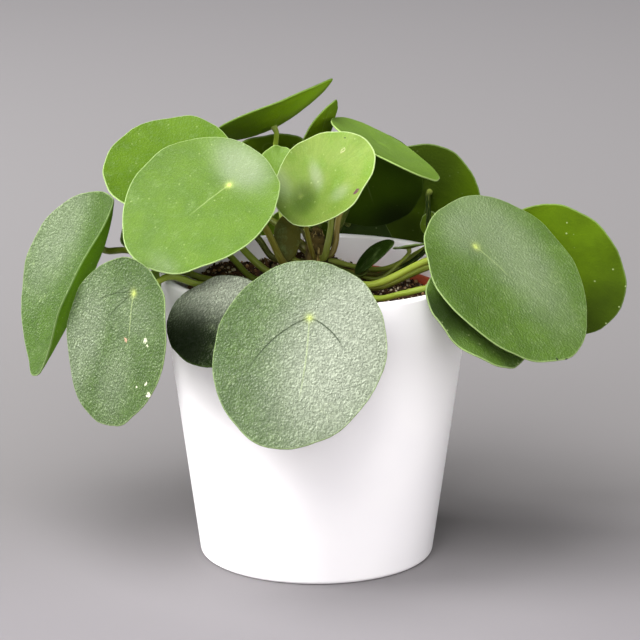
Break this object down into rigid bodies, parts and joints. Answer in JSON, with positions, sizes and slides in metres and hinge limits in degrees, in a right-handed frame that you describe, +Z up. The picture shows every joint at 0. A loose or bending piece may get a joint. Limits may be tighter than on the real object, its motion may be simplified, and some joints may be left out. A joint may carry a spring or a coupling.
{
  "type": "potted chinese money plant",
  "caption": "House plant with round, coin-shaped leaves on long stalks, growing from a short stem in a plain white tapered pot.",
  "frame": {"origin": "middle of the pot's foot, on the surface that it stands on", "axes": "+Z up along the pot's axis, -Y towards the side seen first, +X to the right seen from that side"},
  "size_m": [0.2743, 0.2087, 0.2117],
  "materials": {
    "pot": "smooth white, satin sheen",
    "liner": "terracotta coloured plastic",
    "soil": "dark crumbly potting mix with small pale specks",
    "stem": "brown bark with leaf scars",
    "leaf": "fleshy green leaf, satin, paler underneath",
    "stalk": "smooth yellow-green leaf stalk"
  },
  "bodies": {
    "root": {"pot": "pot", "liner": "liner", "soil": "soil", "stem": "stem", "leaf_01": "leaf", "stalk_01": "stalk", "leaf_02": "leaf", "stalk_02": "stalk", "leaf_03": "leaf", "stalk_03": "stalk", "leaf_04": "leaf", "stalk_04": "stalk", "leaf_05": "leaf", "stalk_05": "stalk", "leaf_06": "leaf", "stalk_06": "stalk", "leaf_07": "leaf", "stalk_07": "stalk", "leaf_08": "leaf", "stalk_08": "stalk", "leaf_09": "leaf", "stalk_09": "stalk", "leaf_10": "leaf", "stalk_10": "stalk", "leaf_11": "leaf", "stalk_11": "stalk", "leaf_12": "leaf", "stalk_12": "stalk", "leaf_13": "leaf", "stalk_13": "stalk", "leaf_14": "leaf", "stalk_14": "stalk", "leaf_15": "leaf", "stalk_15": "stalk", "leaf_16": "leaf", "stalk_16": "stalk", "leaf_17": "leaf", "stalk_17": "stalk", "leaf_18": "leaf", "stalk_18": "stalk", "leaf_19": "leaf", "stalk_19": "stalk", "leaf_20": "leaf", "stalk_20": "stalk", "leaf_21": "leaf", "stalk_21": "stalk", "leaf_22": "leaf", "stalk_22": "stalk", "leaf_23": "leaf", "stalk_23": "stalk", "leaf_24": "leaf", "stalk_24": "stalk", "leaf_25": "leaf", "stalk_25": "stalk", "leaf_26": "leaf", "stalk_26": "stalk", "leaf_27": "leaf", "stalk_27": "stalk"}
  },
  "joints": []
}
